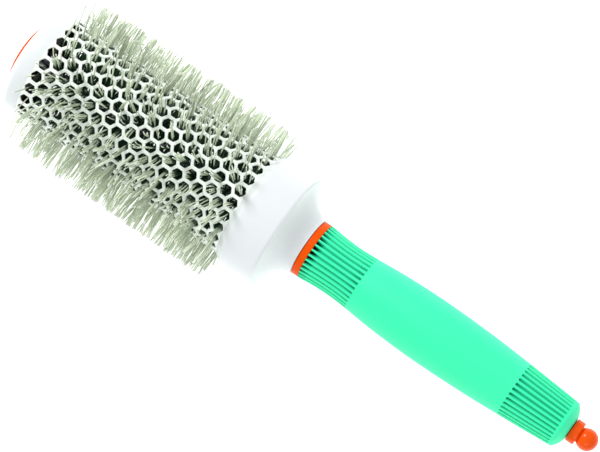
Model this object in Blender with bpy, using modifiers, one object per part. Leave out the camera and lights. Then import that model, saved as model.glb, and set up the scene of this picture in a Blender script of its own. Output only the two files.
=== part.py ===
"""A round barrel hair brush, as the pieces it is put together from.

A vented, ceramic-coated barrel stands on a stem of two twisted wires, and the bristles that the
wires hold come out through the vents. A cap closes the tip, a flared collar and a ring join the
barrel to the grip, and a sectioning pick with a ball knob is kept inside the handle.

All of it turns about one axis. A station is a distance along that axis from the tip of the cap's
button, in millimetres, as every size here is. World +X runs from the cap to the knob.
"""
import math

import bmesh
import bpy
from mathutils import Matrix, Vector

MM = 0.001
GAP = 0.3
ROUND_STEPS = 32
SMALL_STEPS = 24
SHARP_ANGLE = math.radians(35)

# The whole brush
BUTTON_TIP = 0.8
KNOB_END = 278.3

# Cap and its button
DOME_RISE = 1.9
BUTTON_RADIUS = 12.5
BUTTON_EDGE = 2.0
SKIRT_OUTER = 7.4
SKIRT_INNER = 6.2
SKIRT_END = 8.4
CAP_RADIUS = 22.75
CAP_FACE = 4.0
CAP_SHOULDER = 8.8
CAP_FLOOR = 9.0
CAP_FLOOR_THICKNESS = 2.0
CAP_RECESS_RADIUS = 8.0
CAP_BOSS_RADIUS = 5.0
CAP_BOSS_LENGTH = 4.0
CAP_SPIGOT_LENGTH = 1.6
SPIGOT_WALL = 1.6
PUSH_NUT_RADIUS = 5.5
PUSH_NUT_THICKNESS = 0.8

# Barrel and its vents
BARREL_RADIUS = 22.5
BARREL_WALL = 0.6
BARREL_STEPS = 24
BARREL_START = 13.4
BARREL_END = 119.0
VENT_COLUMNS = 20
VENTS_AROUND = 24
FIRST_VENT = 16.42
VENT_PITCH = 4.9
VENT_FLATS = 4.4

# Stem and tufts
WIRE_RADIUS = 1.0
WIRE_LAY = 24.0
WIRE_POINTS_A_TURN = 8
STEM_START = 6.4
STEM_END = 152.0
STEM_BORE = 2.5
TUFTS_AROUND = 12
TUFT_HUB_RADIUS = 4.0
TUFT_HUB_LENGTH = 3.0
TUFT_ROOT_MARGIN = 0.25
TUFT_TIP_RADIUS = 34.2
TUFT_TIP_WIDTH = 2.6

# Lower hub, collar and neck
HUB_FLANGE_RADIUS = 22.3
HUB_FLANGE_THICKNESS = 1.7
HUB_SPIGOT_LENGTH = 3.5
HUB_BOSS_RADIUS = 5.0
HUB_BOSS_START = 113.0
COLLAR_START = 112.5
COLLAR_LIP_RADIUS = 23.1
COLLAR_RADIUS = 24.9
COLLAR_CHAMFER_END = 115.0
COLLAR_END = 129.9
NECK_START = 130.7
NECK_START_RADIUS = 24.5
NECK_END = 140.65
NECK_END_RADIUS = 12.5
NECK_CURVE_POWER = 1.6
NECK_CAVITY_RADIUS = 20.5
NECK_CAVITY_END = 128.0

# Handle core, ferrule, ring and grip
CORE_RADIUS = 8.5
CORE_START = 126.0
CORE_END = 262.0
CORE_BORE = 4.3
STEM_SOCKET_END = 154.0
PICK_SOCKET_START = 158.0
FERRULE_RADIUS = 4.0
FERRULE_START = 124.5
FERRULE_END = 150.0
RING_START = 140.95
RING_END = 144.2
RING_RADIUS = 12.1
GRIP_START = 144.5
GRIP_OUTLINE = (
    (GRIP_START, 12.08),
    (150.5, 11.5),
    (157.6, 11.2),
    (164.0, 11.42),
    (171.1, 12.05),
    (181.0, 12.75),
    (197.9, 13.25),
    (219.9, 12.85),
    (239.0, 11.8),
    (262.7, 10.1),
)
GRIP_END = 266.4
GRIP_BUTT = (
    (263.4, 10.05),
    (265.4, 7.5),
    (GRIP_END, 4.9),
)

# Sectioning pick and the tube that holds it
GUIDE_BORE = 3.3
GUIDE_RADIUS = 4.0
KNOB_RADIUS = 4.55
KNOB_NECK_RADIUS = 3.3
PICK_COLLAR_RADIUS = 4.95
PICK_COLLAR_START = 266.7
PICK_COLLAR_END = 270.3
SHANK_RADIUS = 2.8
SHANK_START = 261.0
GROOVE_RADIUS = 2.1
GROOVE_START = 263.4
GROOVE_END = 265.2
SEAL_INNER = 2.4
SEAL_OUTER = 3.0
NEEDLE_RADIUS = 1.2
NEEDLE_BORE = 1.5
NEEDLE_START = 168.0
NEEDLE_TAPER = 12.0
NEEDLE_TIP_RADIUS = 0.5
NEEDLE_BORE_END = 275.0


def clear_scene():
    for obj in list(bpy.data.objects):
        bpy.data.objects.remove(obj, do_unlink=True)


def new_collection(name):
    collection = bpy.data.collections.new(name)
    bpy.context.scene.collection.children.link(collection)
    return collection


def new_material(name, colour, roughness, metallic=0.0):
    """colour is linear RGB."""
    material = bpy.data.materials.new(name)
    material.use_nodes = True
    shader = material.node_tree.nodes["Principled BSDF"]
    shader.inputs["Base Color"].default_value = (*colour, 1.0)
    shader.inputs["Roughness"].default_value = roughness
    shader.inputs["Metallic"].default_value = metallic
    return material


def make_materials():
    return {
        "ceramic": new_material("ceramic_white", (0.88, 0.90, 0.91), 0.30),
        "white": new_material("white_plastic", (0.88, 0.91, 0.92), 0.22),
        "orange": new_material("orange_plastic", (0.87, 0.11, 0.01), 0.25),
        "teal": new_material("teal_rubber", (0.06, 0.92, 0.52), 0.55),
        "nylon": new_material("bristle_nylon", (0.58, 0.62, 0.47), 0.45),
        "steel": new_material("steel_wire", (0.55, 0.56, 0.58), 0.30, 1.0),
        "inner": new_material("inner_plastic", (0.05, 0.055, 0.06), 0.50),
        "silicone": new_material("silicone", (0.30, 0.32, 0.33), 0.60),
    }


def bake(obj):
    """Replaces the object's mesh with its evaluated one, and drops its modifiers."""
    graph = bpy.context.evaluated_depsgraph_get()
    mesh = bpy.data.meshes.new_from_object(obj.evaluated_get(graph))
    mesh.name = obj.name
    obj.modifiers.clear()
    obj.data = mesh


def shade(obj):
    obj.data.shade_smooth()
    obj.data.set_sharp_from_angle(angle=SHARP_ANGLE)


class Brush:
    """The collections, the axis that every piece is parented to, and the materials."""

    def __init__(self):
        self.parts = new_collection("round_barrel_brush")
        self.cutters = new_collection("cutters")
        self.materials = make_materials()
        self.axis = bpy.data.objects.new("brush_axis", None)
        self.axis.empty_display_size = 20 * MM
        self.axis.location = (-(BUTTON_TIP + KNOB_END) / 2 * MM, 0, 0)
        self.axis.rotation_euler = (0, math.pi / 2, 0)
        self.parts.objects.link(self.axis)

    def add(self, name, data, material):
        """A named piece whose local Z is the station."""
        obj = bpy.data.objects.new(name, data)
        data.materials.append(self.materials[material])
        obj.parent = self.axis
        self.parts.objects.link(obj)
        return obj

    def add_mesh(self, name, bm, material):
        mesh = bpy.data.meshes.new(name)
        bm.to_mesh(mesh)
        bm.free()
        return self.add(name, mesh, material)

    def turned(self, name, outline, material, steps=ROUND_STEPS):
        """A turned piece. The outline, as (station, radius), runs down its outer side from the
        highest station. It is closed into a ring unless both its ends are on the axis."""
        bm = bmesh.new()
        points = [bm.verts.new((radius * MM, 0, station * MM)) for station, radius in outline]
        for first, second in zip(points, points[1:]):
            bm.edges.new((first, second))
        if outline[0][1] > 0:
            bm.edges.new((points[-1], points[0]))
        obj = self.add_mesh(name, bm, material)
        screw = obj.modifiers.new("turn", "SCREW")
        screw.steps = steps
        screw.render_steps = steps
        screw.use_merge_vertices = True
        screw.merge_threshold = 0.00001
        bake(obj)
        shade(obj)
        return obj


def ellipse(centre, radii, start, end, count):
    """Points (station, radius) on an ellipse, from one angle to the other in degrees. Angle 0
    points away from the axis and 90 towards the knob."""
    points = []
    for i in range(count + 1):
        angle = math.radians(start + (end - start) * i / count)
        station = centre[0] + radii[0] * math.sin(angle)
        points.append((station, centre[1] + radii[1] * math.cos(angle)))
    return points


def smooth_outline(points, per_span):
    """A Catmull-Rom curve through (station, radius) points, with its tangents set by station."""
    slopes = []
    for i in range(len(points)):
        before = points[max(i - 1, 0)]
        after = points[min(i + 1, len(points) - 1)]
        slopes.append((after[1] - before[1]) / (after[0] - before[0]))
    curve = [points[0]]
    for i in range(len(points) - 1):
        (x0, r0), (x1, r1) = points[i], points[i + 1]
        span = x1 - x0
        for step in range(1, per_span + 1):
            t = step / per_span
            rise = t * t * (3 - 2 * t)
            leave = (t - 2 * t * t + t**3) * slopes[i] * span
            arrive = (t**3 - t * t) * slopes[i + 1] * span
            curve.append((x0 + t * span, r0 + rise * (r1 - r0) + leave + arrive))
    return curve


def cap_button(brush):
    sphere_radius = (BUTTON_RADIUS**2 + DOME_RISE**2) / (2 * DOME_RISE)
    edge_angle = math.degrees(math.asin(BUTTON_RADIUS / sphere_radius))
    sphere_centre = (BUTTON_TIP + sphere_radius, 0)
    dome = ellipse(sphere_centre, (sphere_radius, sphere_radius), edge_angle - 90, -90, 4)
    dome[-1] = (BUTTON_TIP, 0)
    underside = BUTTON_TIP + DOME_RISE + BUTTON_EDGE
    outline = [
        (underside, 0),
        (underside, SKIRT_INNER),
        (SKIRT_END, SKIRT_INNER),
        (SKIRT_END, SKIRT_OUTER),
        (underside, SKIRT_OUTER),
        (underside, BUTTON_RADIUS),
        *dome,
    ]
    return brush.turned("cap_button", outline, "orange")


def end_cap(brush):
    spigot_outer = BARREL_RADIUS - BARREL_WALL - GAP
    spigot_inner = spigot_outer - SPIGOT_WALL
    rim = BARREL_START - GAP
    seat = BUTTON_TIP + DOME_RISE + BUTTON_EDGE + GAP
    seat_radius = BUTTON_RADIUS + GAP
    ceiling = CAP_FLOOR + CAP_FLOOR_THICKNESS
    rounding = ellipse(
        (CAP_SHOULDER, seat_radius),
        (CAP_SHOULDER - CAP_FACE, CAP_RADIUS - seat_radius),
        0,
        -90,
        6,
    )
    outline = [
        (BARREL_START + CAP_SPIGOT_LENGTH, spigot_inner),
        (BARREL_START + CAP_SPIGOT_LENGTH, spigot_outer),
        (rim, spigot_outer),
        (rim, CAP_RADIUS),
        *rounding,
        (seat, seat_radius),
        (seat, CAP_RECESS_RADIUS),
        (CAP_FLOOR, CAP_RECESS_RADIUS),
        (CAP_FLOOR, STEM_BORE),
        (CAP_FLOOR + CAP_BOSS_LENGTH, STEM_BORE),
        (CAP_FLOOR + CAP_BOSS_LENGTH, CAP_BOSS_RADIUS),
        (ceiling, CAP_BOSS_RADIUS),
        (ceiling, spigot_inner),
    ]
    return brush.turned("end_cap", outline, "white")


def stem_push_nut(brush):
    """The spring-steel nut on the stem's end, which pulls the cap onto the barrel."""
    bottom = CAP_FLOOR - GAP
    top = bottom - PUSH_NUT_THICKNESS
    outline = [
        (bottom, PUSH_NUT_RADIUS),
        (top + 0.2, PUSH_NUT_RADIUS),
        (top, PUSH_NUT_RADIUS - 0.2),
        (top - 0.5, STEM_BORE + 1.0),
        (top - 0.5, STEM_BORE),
        (bottom, STEM_BORE),
    ]
    return brush.turned("stem_push_nut", outline, "steel", SMALL_STEPS)


def stem_wire(brush, name, phase):
    """One of the two wires that are twisted about each other and grip the bristles' roots."""
    helix_radius = WIRE_RADIUS + GAP / 2
    count = round((STEM_END - STEM_START) / WIRE_LAY * WIRE_POINTS_A_TURN)
    curve = bpy.data.curves.new(name, "CURVE")
    curve.dimensions = "3D"
    curve.bevel_depth = WIRE_RADIUS * MM
    curve.bevel_resolution = 2
    curve.use_fill_caps = True
    spline = curve.splines.new("POLY")
    spline.points.add(count)
    for i, point in enumerate(spline.points):
        station = STEM_START + (STEM_END - STEM_START) * i / count
        angle = phase + 2 * math.pi * (station - STEM_START) / WIRE_LAY
        x = helix_radius * math.cos(angle)
        y = helix_radius * math.sin(angle)
        point.co = (x * MM, y * MM, station * MM, 1)
    return brush.add(name, curve, "steel")


def vent_station(column):
    """Where a column of vents has its centres. Columns count from 1 at the cap."""
    return FIRST_VENT + (column - 1) * VENT_PITCH


def tufted_columns():
    return range(2, VENT_COLUMNS + 1, 2)


def tuft_turn(column):
    """How far a column's ring of tufts is turned, so that its tufts meet vents and neighbouring
    rings alternate."""
    half_pitch = math.pi / VENTS_AROUND
    return half_pitch if column % 4 else -half_pitch


def tuft_directions(column):
    step = 2 * math.pi / TUFTS_AROUND
    first = math.pi / 2 + step / 2 + tuft_turn(column)
    angles = (first + i * step for i in range(TUFTS_AROUND))
    return [Vector((math.cos(angle), math.sin(angle), 0)) for angle in angles]


def cut_vents(brush, barrel):
    """Cuts the vents that tufts come out of: six-sided, with two corners along the axis."""
    bm = bmesh.new()
    along = Vector((0, 0, 1))
    middle = BARREL_RADIUS - BARREL_WALL / 2
    corner_radius = VENT_FLATS / math.sqrt(3)
    for column in tufted_columns():
        for out in tuft_directions(column):
            place = Matrix((along.cross(out), along, out)).transposed().to_4x4()
            place.translation = (out * middle + along * vent_station(column)) * MM
            bmesh.ops.create_cone(
                bm,
                cap_ends=True,
                segments=6,
                radius1=corner_radius * MM,
                radius2=corner_radius * MM,
                depth=6 * BARREL_WALL * MM,
                matrix=place,
            )
    cutter = brush.add_mesh("vent_cutter", bm, "ceramic")
    brush.parts.objects.unlink(cutter)
    brush.cutters.objects.link(cutter)
    cutter.hide_render = True
    cutter.display_type = "WIRE"
    boolean = barrel.modifiers.new("vents", "BOOLEAN")
    boolean.object = cutter


def barrel_tube(brush):
    outline = [
        (BARREL_END, BARREL_RADIUS),
        (BARREL_START, BARREL_RADIUS),
        (BARREL_START, BARREL_RADIUS - BARREL_WALL),
        (BARREL_END, BARREL_RADIUS - BARREL_WALL),
    ]
    barrel = brush.turned("barrel", outline, "ceramic", BARREL_STEPS)
    cut_vents(brush, barrel)
    return barrel


def tuft_ring(brush, number, column):
    """A whorl of tufts round the stem, each tapering out through its own vent."""
    bm = bmesh.new()
    place = Matrix.Rotation(tuft_turn(column), 4, "Z")
    place.translation = (0, 0, vent_station(column) * MM)
    walls = []
    for radius in (TUFT_HUB_RADIUS, STEM_BORE):
        made = bmesh.ops.create_cone(
            bm,
            cap_ends=False,
            segments=TUFTS_AROUND,
            radius1=radius * MM,
            radius2=radius * MM,
            depth=TUFT_HUB_LENGTH * MM,
            matrix=place,
        )
        walls.append(list({face for vert in made["verts"] for face in vert.link_faces}))
    outer, inner = walls
    bmesh.ops.reverse_faces(bm, faces=inner)
    for side in (-1, 1):
        rims = [
            edge
            for edge in bm.edges
            if edge.is_boundary and (edge.verts[0].co.z - place.translation.z) * side > 0
        ]
        bmesh.ops.bridge_loops(bm, edges=rims)
    bmesh.ops.inset_individual(bm, faces=outer, thickness=TUFT_ROOT_MARGIN * MM)
    tips = bmesh.ops.extrude_discrete_faces(bm, faces=outer)["faces"]
    for tip in tips:
        spread_tip(tip)
    bmesh.ops.recalc_face_normals(bm, faces=bm.faces)
    return brush.add_mesh(f"bristles_{number:02d}", bm, "nylon")


def spread_tip(face):
    """Moves a tuft's end face out to the bristles' tips and makes it square."""
    centre = face.calc_center_median()
    along = Vector((0, 0, 1))
    out = Vector((centre.x, centre.y, 0)).normalized()
    across = along.cross(out)
    half = TUFT_TIP_WIDTH / 2 * MM
    for vert in face.verts:
        offset = vert.co - centre
        sideways = across * math.copysign(half, offset.dot(across))
        lengthways = along * (centre.z + math.copysign(half, offset.z))
        vert.co = out * TUFT_TIP_RADIUS * MM + sideways + lengthways


def lower_hub(brush):
    """The disc that closes the barrel's lower end and centres the stem in it."""
    spigot_outer = BARREL_RADIUS - BARREL_WALL - GAP
    spigot_inner = spigot_outer - SPIGOT_WALL
    flange_start = BARREL_END + GAP
    flange_end = flange_start + HUB_FLANGE_THICKNESS
    web_start = BARREL_END - GAP
    outline = [
        (flange_end, STEM_BORE),
        (flange_end, HUB_FLANGE_RADIUS),
        (flange_start, HUB_FLANGE_RADIUS),
        (flange_start, spigot_outer),
        (BARREL_END - HUB_SPIGOT_LENGTH, spigot_outer),
        (BARREL_END - HUB_SPIGOT_LENGTH, spigot_inner),
        (web_start, spigot_inner),
        (web_start, HUB_BOSS_RADIUS),
        (HUB_BOSS_START, HUB_BOSS_RADIUS),
        (HUB_BOSS_START, STEM_BORE),
    ]
    return brush.turned("lower_hub", outline, "inner", SMALL_STEPS)


def neck_curve(count):
    """The hollow sweep from the collar in to the handle, from the handle's end."""
    rise = NECK_START_RADIUS - NECK_END_RADIUS
    run = NECK_END - NECK_START
    points = []
    for i in range(count + 1):
        u = math.sin(math.pi / 2 * i / count)
        v = (1 - u**NECK_CURVE_POWER) ** (1 / NECK_CURVE_POWER)
        points.append((NECK_END - u * run, NECK_START_RADIUS - v * rise))
    return points


def neck_collar(brush):
    socket_radius = CORE_RADIUS + GAP
    seat_radius = BARREL_RADIUS + GAP
    seat_end = BARREL_END + 2 * GAP + HUB_FLANGE_THICKNESS
    outline = [
        (NECK_END, socket_radius),
        *neck_curve(7),
        (COLLAR_END, COLLAR_RADIUS),
        (COLLAR_CHAMFER_END, COLLAR_RADIUS),
        (COLLAR_START, COLLAR_LIP_RADIUS),
        (COLLAR_START, seat_radius),
        (seat_end, seat_radius),
        (seat_end, NECK_CAVITY_RADIUS),
        (NECK_CAVITY_END, NECK_CAVITY_RADIUS),
        (NECK_CAVITY_END, socket_radius),
    ]
    return brush.turned("neck_collar", outline, "white")


def stem_ferrule(brush):
    """The crimped sleeve that anchors the stem in the handle."""
    outline = [
        (FERRULE_END, STEM_BORE),
        (FERRULE_END, FERRULE_RADIUS - 0.4),
        (FERRULE_END - 0.4, FERRULE_RADIUS),
        (FERRULE_START, FERRULE_RADIUS),
        (FERRULE_START, STEM_BORE),
    ]
    return brush.turned("stem_ferrule", outline, "steel", SMALL_STEPS)


def handle_core(brush):
    """The stiff core under the grip, with a socket for the stem and one for the pick's tube."""
    outline = [
        (PICK_SOCKET_START, 0),
        (PICK_SOCKET_START, CORE_BORE),
        (CORE_END, CORE_BORE),
        (CORE_END, CORE_RADIUS),
        (CORE_START, CORE_RADIUS),
        (CORE_START, CORE_BORE),
        (STEM_SOCKET_END, CORE_BORE),
        (STEM_SOCKET_END, 0),
    ]
    return brush.turned("handle_core", outline, "inner", SMALL_STEPS)


def accent_ring(brush):
    edge = 0.3
    outline = [
        (RING_END, CORE_RADIUS + GAP),
        (RING_END, RING_RADIUS - edge),
        (RING_END - edge, RING_RADIUS),
        (RING_START + edge, RING_RADIUS),
        (RING_START, RING_RADIUS - edge),
        (RING_START, CORE_RADIUS + GAP),
    ]
    return brush.turned("accent_ring", outline, "orange")


def grip_sleeve(brush):
    body = smooth_outline(GRIP_OUTLINE, 2)
    outline = [
        (GRIP_END, GUIDE_RADIUS + GAP),
        *reversed(GRIP_BUTT),
        *reversed(body),
        (GRIP_START, CORE_RADIUS + GAP),
        (CORE_END + GAP, CORE_RADIUS + GAP),
        (CORE_END + GAP, GUIDE_RADIUS + GAP),
    ]
    return brush.turned("grip_sleeve", outline, "teal")


def pick_guide(brush):
    """The tube in the handle that the pick slides into."""
    start = PICK_SOCKET_START + GAP
    end = GRIP_END - GAP
    outline = [
        (end, GUIDE_BORE),
        (end, GUIDE_RADIUS),
        (start, GUIDE_RADIUS),
        (start, GUIDE_BORE),
    ]
    return brush.turned("pick_guide", outline, "inner", SMALL_STEPS)


def pick_knob(brush):
    """A ball, a collar that meets the grip and a grooved shank, moulded onto the needle."""
    ball_centre = KNOB_END - KNOB_RADIUS
    neck_angle = math.degrees(math.acos(KNOB_NECK_RADIUS / KNOB_RADIUS))
    ball = ellipse((ball_centre, 0), (KNOB_RADIUS, KNOB_RADIUS), 90, -neck_angle, 8)
    ball[0] = (KNOB_END, 0)
    edge = 0.4
    outline = [
        *ball,
        (PICK_COLLAR_END, KNOB_NECK_RADIUS),
        (PICK_COLLAR_END, PICK_COLLAR_RADIUS - edge),
        (PICK_COLLAR_END - edge, PICK_COLLAR_RADIUS),
        (PICK_COLLAR_START, PICK_COLLAR_RADIUS),
        (PICK_COLLAR_START, SHANK_RADIUS),
        (GROOVE_END, SHANK_RADIUS),
        (GROOVE_END, GROOVE_RADIUS),
        (GROOVE_START, GROOVE_RADIUS),
        (GROOVE_START, SHANK_RADIUS),
        (SHANK_START, SHANK_RADIUS),
        (SHANK_START, NEEDLE_BORE),
        (NEEDLE_BORE_END, NEEDLE_BORE),
        (NEEDLE_BORE_END, 0),
    ]
    return brush.turned("pick_knob", outline, "orange", SMALL_STEPS)


def pick_needle(brush):
    end = NEEDLE_BORE_END - GAP
    tip_centre = (NEEDLE_START + NEEDLE_TIP_RADIUS, 0)
    tip = ellipse(tip_centre, (NEEDLE_TIP_RADIUS, NEEDLE_TIP_RADIUS), 0, -90, 3)
    tip[-1] = (NEEDLE_START, 0)
    outline = [
        (end, 0),
        (end, NEEDLE_RADIUS),
        (NEEDLE_START + NEEDLE_TAPER, NEEDLE_RADIUS),
        *tip,
    ]
    return brush.turned("pick_needle", outline, "steel", 16)


def pick_seal(brush):
    """The soft ring in the shank's groove, which holds the pick in its tube by friction."""
    start = GROOVE_START + GAP
    end = GROOVE_END - GAP
    edge = 0.15
    outline = [
        (end, SEAL_INNER),
        (end, SEAL_OUTER - edge),
        (end - edge, SEAL_OUTER),
        (start + edge, SEAL_OUTER),
        (start, SEAL_OUTER - edge),
        (start, SEAL_INNER),
    ]
    return brush.turned("pick_seal", outline, "silicone", SMALL_STEPS)


def main():
    clear_scene()
    brush = Brush()
    cap_button(brush)
    end_cap(brush)
    stem_push_nut(brush)
    barrel_tube(brush)
    stem_wire(brush, "stem_wire_a", 0)
    stem_wire(brush, "stem_wire_b", math.pi)
    for number, column in enumerate(tufted_columns(), 1):
        tuft_ring(brush, number, column)
    lower_hub(brush)
    neck_collar(brush)
    stem_ferrule(brush)
    accent_ring(brush)
    handle_core(brush)
    grip_sleeve(brush)
    pick_guide(brush)
    pick_knob(brush)
    pick_needle(brush)
    pick_seal(brush)


main()
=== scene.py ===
"""The finished look of a round barrel hair brush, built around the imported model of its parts.

A station is a place along the brush's axis, in millimetres, counted towards the knob. Outlines
are written as (station, radius) in millimetres, and an optional third number eases that corner.
"""

import math
import random

import bmesh
import bpy
from mathutils import Matrix, Vector


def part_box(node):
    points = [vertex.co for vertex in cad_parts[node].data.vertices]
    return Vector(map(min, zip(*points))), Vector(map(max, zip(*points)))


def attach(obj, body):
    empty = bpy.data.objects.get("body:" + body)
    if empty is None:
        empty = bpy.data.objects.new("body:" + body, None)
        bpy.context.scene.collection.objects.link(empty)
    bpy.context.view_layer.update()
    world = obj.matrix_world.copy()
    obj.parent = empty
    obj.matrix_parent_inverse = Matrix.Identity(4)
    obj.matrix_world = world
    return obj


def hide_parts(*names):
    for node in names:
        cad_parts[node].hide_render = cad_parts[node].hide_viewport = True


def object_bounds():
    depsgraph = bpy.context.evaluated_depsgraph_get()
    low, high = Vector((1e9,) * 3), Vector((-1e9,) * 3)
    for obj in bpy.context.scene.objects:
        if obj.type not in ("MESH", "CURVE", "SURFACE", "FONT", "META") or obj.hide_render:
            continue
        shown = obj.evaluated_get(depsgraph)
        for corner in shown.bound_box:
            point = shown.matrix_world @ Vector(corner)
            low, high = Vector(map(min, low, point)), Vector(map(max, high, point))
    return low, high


bl_info = {
    "name": "Round Barrel Brush",
    "version": (1, 0, 0),
    "blender": (4, 5, 0),
    "location": "3D View > Sidebar > Brush",
    "description": "Builds a vented barrel brush with nylon bristles and a rubber grip",
    "category": "Add Mesh",
}

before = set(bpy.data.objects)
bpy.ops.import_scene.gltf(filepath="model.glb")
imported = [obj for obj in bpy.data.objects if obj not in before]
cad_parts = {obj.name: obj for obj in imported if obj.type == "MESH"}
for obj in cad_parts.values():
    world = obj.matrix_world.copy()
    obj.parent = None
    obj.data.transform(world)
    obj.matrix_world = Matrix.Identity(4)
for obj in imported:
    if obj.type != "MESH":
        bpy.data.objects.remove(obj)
CAD_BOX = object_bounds()

MM = 0.001
BUTTON_TIP = 0.8  # the station of the foremost point
ZERO_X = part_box("cap_button")[0].x - BUTTON_TIP * MM
FULL_TURN = 2 * math.pi
FIT_GAP = 0.3  # between a moulding and what it fits round, mm


def station_of(x):
    return (x - ZERO_X) / MM


def span(node):
    """First and last station of a CAD node."""
    low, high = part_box(node)
    return station_of(low.x), station_of(high.x)


def radius_of(node):
    low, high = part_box(node)
    return (high.z - low.z) / 2 / MM


BARREL_START, BARREL_END = span("barrel")
BARREL_RADIUS = radius_of("barrel")
GRIP_START, GRIP_END = span("grip_sleeve")
CAP_RADIUS = radius_of("end_cap")
COLLAR_RADIUS = radius_of("neck_collar")
CORE_RADIUS = radius_of("handle_core")
BRISTLE_RADIUS = CAD_BOX[1].z / MM


def linear(hex_colour):
    """An sRGB hex colour as linear RGB."""
    channels = (int(hex_colour[i : i + 2], 16) / 255 for i in (0, 2, 4))
    return [c / 12.92 if c <= 0.04045 else ((c + 0.055) / 1.055) ** 2.4 for c in channels]


def size_property(name, description, default, low, high):
    """A size in millimetres. Blender's own unit of length is the metre, so none is set."""
    return bpy.props.FloatProperty(
        name=name, description=description, default=default, min=low, max=high
    )


def colour_property(name, description, hex_colour):
    return bpy.props.FloatVectorProperty(
        name=name,
        description=description,
        default=linear(hex_colour),
        subtype="COLOR",
        size=3,
        min=0,
        max=1,
    )


class BarrelSettings(bpy.types.PropertyGroup):
    """The vented tube. Lengths are in millimetres."""

    wall: size_property("Wall", "Thickness of the tube's wall, mm", 0.6, 0.3, 2)
    columns: bpy.props.IntProperty(
        name="Columns", description="Rings of vents along the tube", default=20, min=2, max=40
    )
    around: bpy.props.IntProperty(
        name="Around", description="Vents in each ring", default=24, min=6, max=48
    )
    first_vent: size_property("First vent", "Station of the first ring, mm", 16.42, 15, 30)
    pitch: size_property("Pitch", "Distance between rings, mm", 4.9, 3, 10)
    flats: size_property("Vent size", "Across a vent's flats, mm", 4.4, 1, 5.5)
    corner: bpy.props.FloatProperty(
        name="Corner rounding",
        description="How far a vent's outline goes from a hexagon to a circle",
        default=0.14,
        min=0,
        max=1,
        subtype="FACTOR",
    )
    lip: size_property("Lip", "Rolled edge round each vent, mm", 0.14, 0.02, 0.4)


class BristleSettings(bpy.types.PropertyGroup):
    """The nylon filaments. Lengths are in millimetres."""

    per_vent: bpy.props.FloatProperty(
        name="Per vent", description="Average filaments through a vent", default=5.2, min=1, max=12
    )
    thickness: size_property("Thickness", "Diameter of a filament, mm", 0.5, 0.1, 1)
    trim: size_property("Trim", "Spread of the tips' height, mm", 0.8, 0, 6)
    lean: bpy.props.FloatProperty(
        name="Lean",
        description="Typical lean of a clump of filaments",
        default=math.radians(3.2),
        min=0,
        max=math.radians(40),
        subtype="ANGLE",
    )
    seed: bpy.props.IntProperty(
        name="Seed", description="Another number gives another growth", default=7, min=0, max=999
    )


class GripSettings(bpy.types.PropertyGroup):
    """The rubber grip. Lengths are in millimetres."""

    grooves: bpy.props.IntProperty(
        name="Grooves", description="Grooves round each end", default=32, min=8, max=60
    )
    depth: size_property("Groove depth", "Depth of a groove, mm", 0.85, 0.1, 1.5)
    pit_depth: size_property("Pit depth", "Depth where they meet the ring, mm", 2.6, 0.1, 3)
    share: bpy.props.FloatProperty(
        name="Groove share",
        description="Share of the pitch that a groove takes up",
        default=0.57,
        min=0.1,
        max=0.8,
        subtype="FACTOR",
    )
    front_end: size_property("Front end", "Where the front grooves end, mm", 167.0, 150, 180)
    tail_start: size_property("Tail start", "Where the tail grooves start, mm", 239.4, 200, 250)
    tail_end: size_property("Tail end", "Where the tail grooves end, mm", 262.3, 250, 263)


class ColourSettings(bpy.types.PropertyGroup):
    """The colours of the brush's materials."""

    # The ceramic is a white coat; its faint green tint is a painted reflection of the green
    # bristles.
    ceramic: colour_property("Ceramic", "Coating of the barrel", "F7FEF9")
    white: colour_property("White", "Cap and collar", "E4E9EB")
    orange: colour_property("Orange", "Button, ring and knob", "F45502")
    teal: colour_property("Teal", "Rubber grip", "37FAB6")
    # Groove and Pit are painted shade: they darken the rubber in its grooves and pits, deeper is
    # darker.
    groove: colour_property("Groove", "Rubber at the bottom of the grooves", "009280")
    painted_pit_shade: colour_property("Pit", "Rubber deep in the pits by the ring", "00141E")
    # Tips are pale partly from real frosting at the cut and partly from painted light on the ends.
    tips: colour_property("Tips", "Cut ends of the bristles", "EDF1E6")
    nylon: colour_property("Nylon", "Bristles", "D1DCC5")
    # Roots is a painted shade: the dark green of the shade inside the barrel, on the filaments
    # there and on the tube's inner wall.
    roots: colour_property("Roots", "Bristles inside the barrel", "305A3E")
    steel: colour_property("Steel", "Stem and needle", "B8BABD")
    # Inner is also the painted shade in the cap's white hollow.
    inner: colour_property("Inner", "Hidden mouldings", "141213")
    silicone: colour_property("Silicone", "Band on the pick", "8C9092")
    floor: colour_property("Floor", "Studio floor", "FFFFFF")


class BrushSettings(bpy.types.PropertyGroup):
    """Everything that can be set before the brush is built."""

    barrel: bpy.props.PointerProperty(type=BarrelSettings)
    bristles: bpy.props.PointerProperty(type=BristleSettings)
    grip: bpy.props.PointerProperty(type=GripSettings)
    colours: bpy.props.PointerProperty(type=ColourSettings)


# Materials


def add_node(material, kind, inputs=None, **settings):
    """Adds a node. An input is a value, or another node's output to link."""
    node = material.node_tree.nodes.new(kind)
    for name, value in settings.items():
        setattr(node, name, value)
    for name, value in (inputs or {}).items():
        socket = node.inputs[name]
        if isinstance(value, bpy.types.NodeSocket):
            material.node_tree.links.new(value, socket)
        else:
            socket.default_value = value
    return node


def new_material(name, colour, **sockets):
    """A Principled material. Sockets are its settings that are the same all over."""
    material = bpy.data.materials.new(name)
    material.use_nodes = True
    shader = material.node_tree.nodes["Principled BSDF"]
    shader.inputs["Base Color"].default_value = (*colour, 1)
    for socket, value in sockets.items():
        shader.inputs[socket.replace("_", " ")].default_value = value
    material.diffuse_color = (*colour, 1)
    return material, shader


# The mix node has a socket of each name for every kind of data, so its colours go by number.
FACTOR, FIRST_COLOUR, SECOND_COLOUR, MIXED_COLOUR = 0, 6, 7, 2
DEPTH_LAYER = "groove_depth"
NOISE_RANGE = {"From Min": 0.22, "From Max": 0.78}  # nearly all of a noise lies within it


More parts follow.
